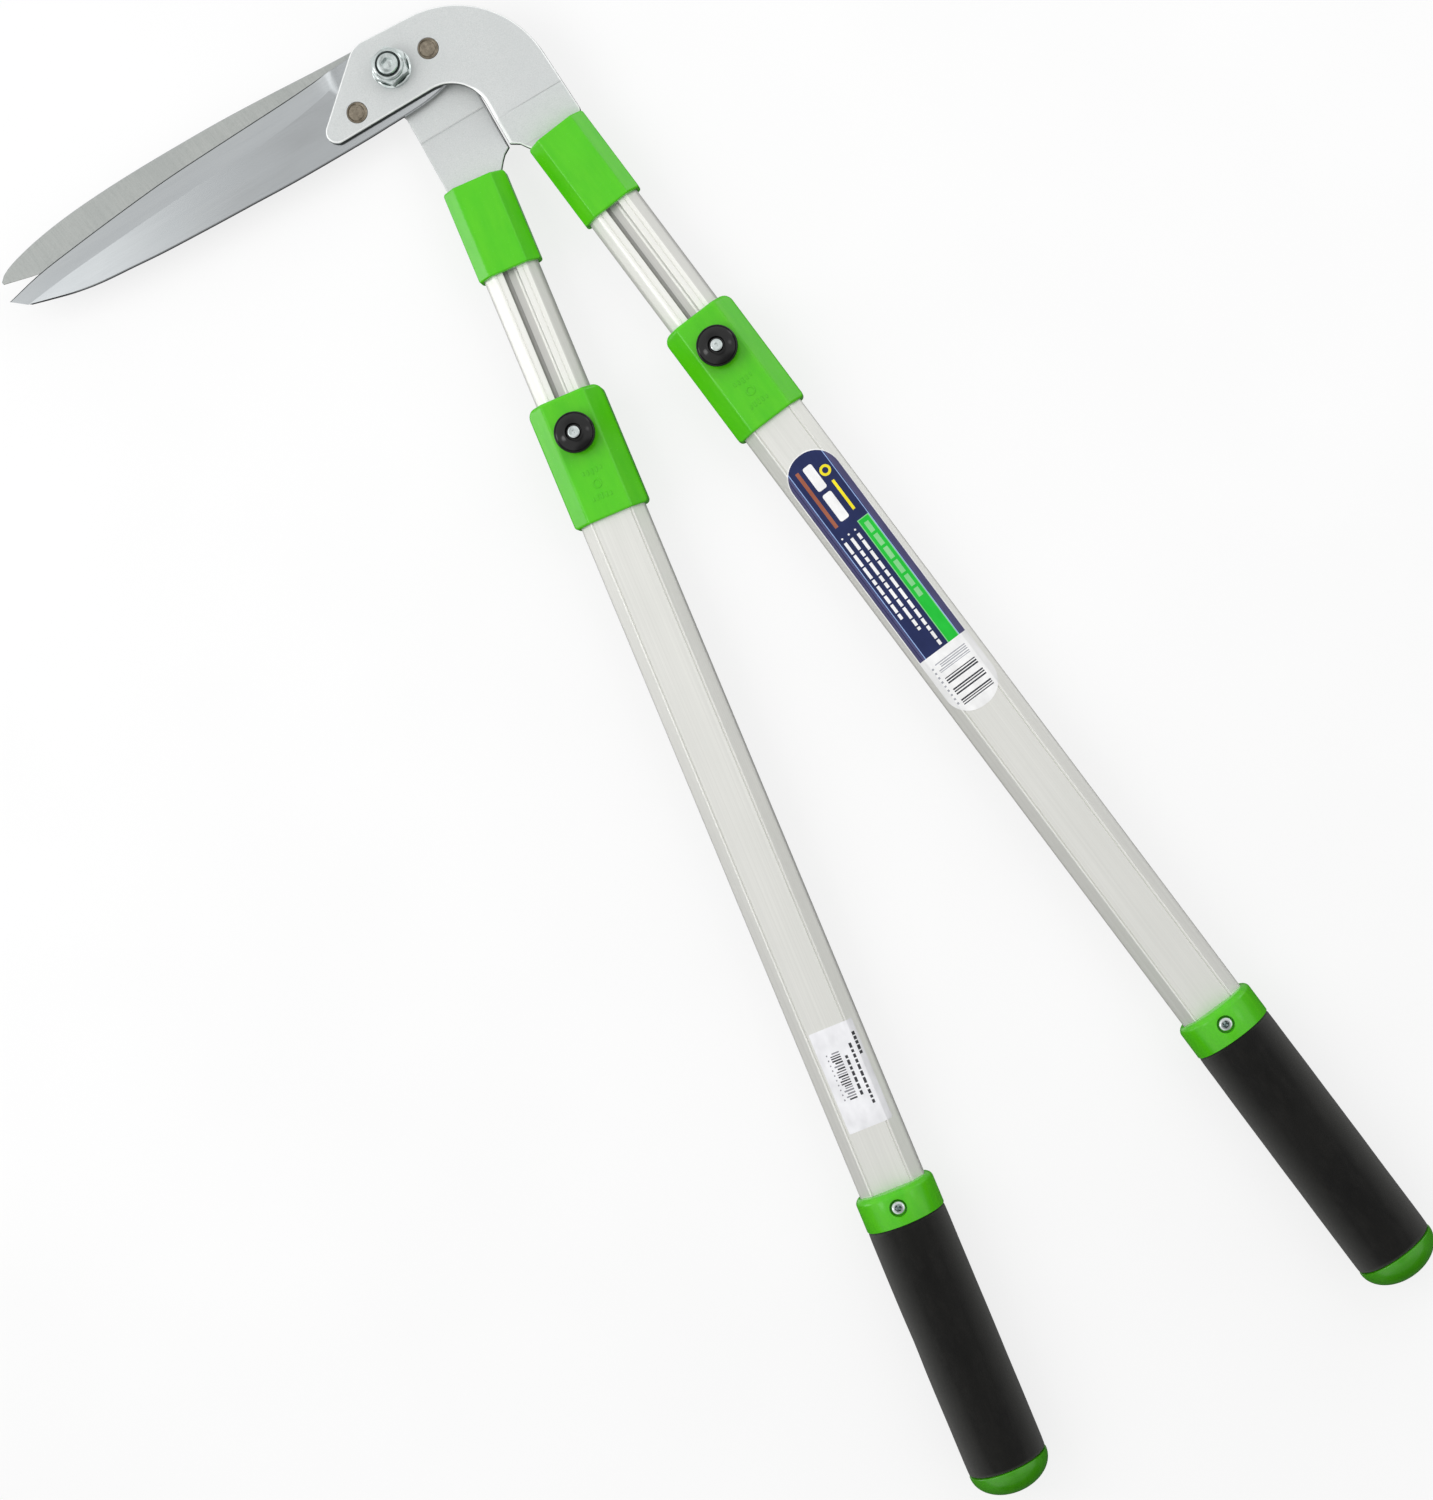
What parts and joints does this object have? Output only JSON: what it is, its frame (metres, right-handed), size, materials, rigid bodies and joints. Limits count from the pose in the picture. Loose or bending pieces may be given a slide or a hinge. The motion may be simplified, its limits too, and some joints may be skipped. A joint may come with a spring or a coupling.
{
  "type": "telescopic lawn edging shears",
  "caption": "Long-handled lawn edging shears: offset shear blades on cranked head plates, telescopic aluminium handles with lift-and-lock knobs, foam grips.",
  "frame": {"origin": "on the pivot axis, at the outer face of the pivot bolt's head", "axes": "+Z along the pivot axis towards the nut; -Y down the middle between the two handles; the closed blades point along -X"},
  "size_m": [0.4148, 0.8509, 0.0489],
  "materials": {
    "plate_steel": "galvanised, satin",
    "blade_steel": "ground and polished",
    "rivet_steel": "peened, dull",
    "zinc_steel": "bright zinc plated",
    "spring_steel": "drawn wire",
    "dark_nylon": "moulded",
    "green_plastic": "moulded, soft gloss",
    "anodised_aluminium": "satin anodised",
    "black_plastic": "gloss moulded",
    "grip_foam": "matt closed-cell foam",
    "sticker_navy": "printed film",
    "sticker_white": "printed film"
  },
  "bodies": {
    "rear_arm": {"rear_head_plate": "plate_steel", "rear_blade": "blade_steel", "rear_blade_rivets": "rivet_steel", "pivot_bolt": "zinc_steel", "pivot_washer": "zinc_steel", "pivot_nut": "zinc_steel", "nut_insert": "dark_nylon", "left_head_collar": "green_plastic", "left_tang_rivets": "zinc_steel", "left_inner_tube": "anodised_aluminium", "left_tube_bush": "dark_nylon"},
    "front_arm": {"front_head_plate": "plate_steel", "front_blade": "blade_steel", "front_blade_rivets": "rivet_steel", "right_head_collar": "green_plastic", "right_tang_rivets": "zinc_steel", "right_inner_tube": "anodised_aluminium", "right_tube_bush": "dark_nylon"},
    "left_extension": {"left_extension_collar": "green_plastic", "left_collar_screw": "zinc_steel", "left_outer_tube": "anodised_aluminium", "left_lock_spring": "spring_steel", "left_grip_ferrule": "green_plastic", "left_ferrule_screw": "zinc_steel", "left_foam_grip": "grip_foam", "left_end_cap": "green_plastic", "left_label": "sticker_white"},
    "left_knob": {"left_lock_knob": "black_plastic", "left_lock_pin": "zinc_steel", "left_pin_clip": "zinc_steel"},
    "right_extension": {"right_extension_collar": "green_plastic", "right_collar_screw": "zinc_steel", "right_outer_tube": "anodised_aluminium", "right_lock_spring": "spring_steel", "right_grip_ferrule": "green_plastic", "right_ferrule_screw": "zinc_steel", "right_foam_grip": "grip_foam", "right_end_cap": "green_plastic", "right_label": "sticker_navy"},
    "right_knob": {"right_lock_knob": "black_plastic", "right_lock_pin": "zinc_steel", "right_pin_clip": "zinc_steel"}
  },
  "joints": [
    {"name": "blade_pivot", "type": "hinge", "parent": "rear_arm", "child": "front_arm", "pos_m": [0, 0, 0.01549], "axis": [0, 0, 1], "range_deg": [0, 40]},
    {"name": "left_extension_slide", "type": "slide", "parent": "rear_arm", "child": "left_extension", "axis": [-0.1233, -0.9924, 0], "range_m": [0, 0.21]},
    {"name": "right_extension_slide", "type": "slide", "parent": "front_arm", "child": "right_extension", "axis": [0.1233, -0.9924, 0], "range_m": [0, 0.21]},
    {"name": "left_knob_lift", "type": "slide", "parent": "left_extension", "child": "left_knob", "axis": [0, 0, 1], "range_m": [-0.0035, 0], "stiffness_N_per_m": 400, "springref_m": -0.006, "deforming": ["left_lock_spring"]},
    {"name": "right_knob_lift", "type": "slide", "parent": "right_extension", "child": "right_knob", "axis": [0, 0, 1], "range_m": [-0.0035, 0], "stiffness_N_per_m": 400, "springref_m": -0.006, "deforming": ["right_lock_spring"]}
  ]
}
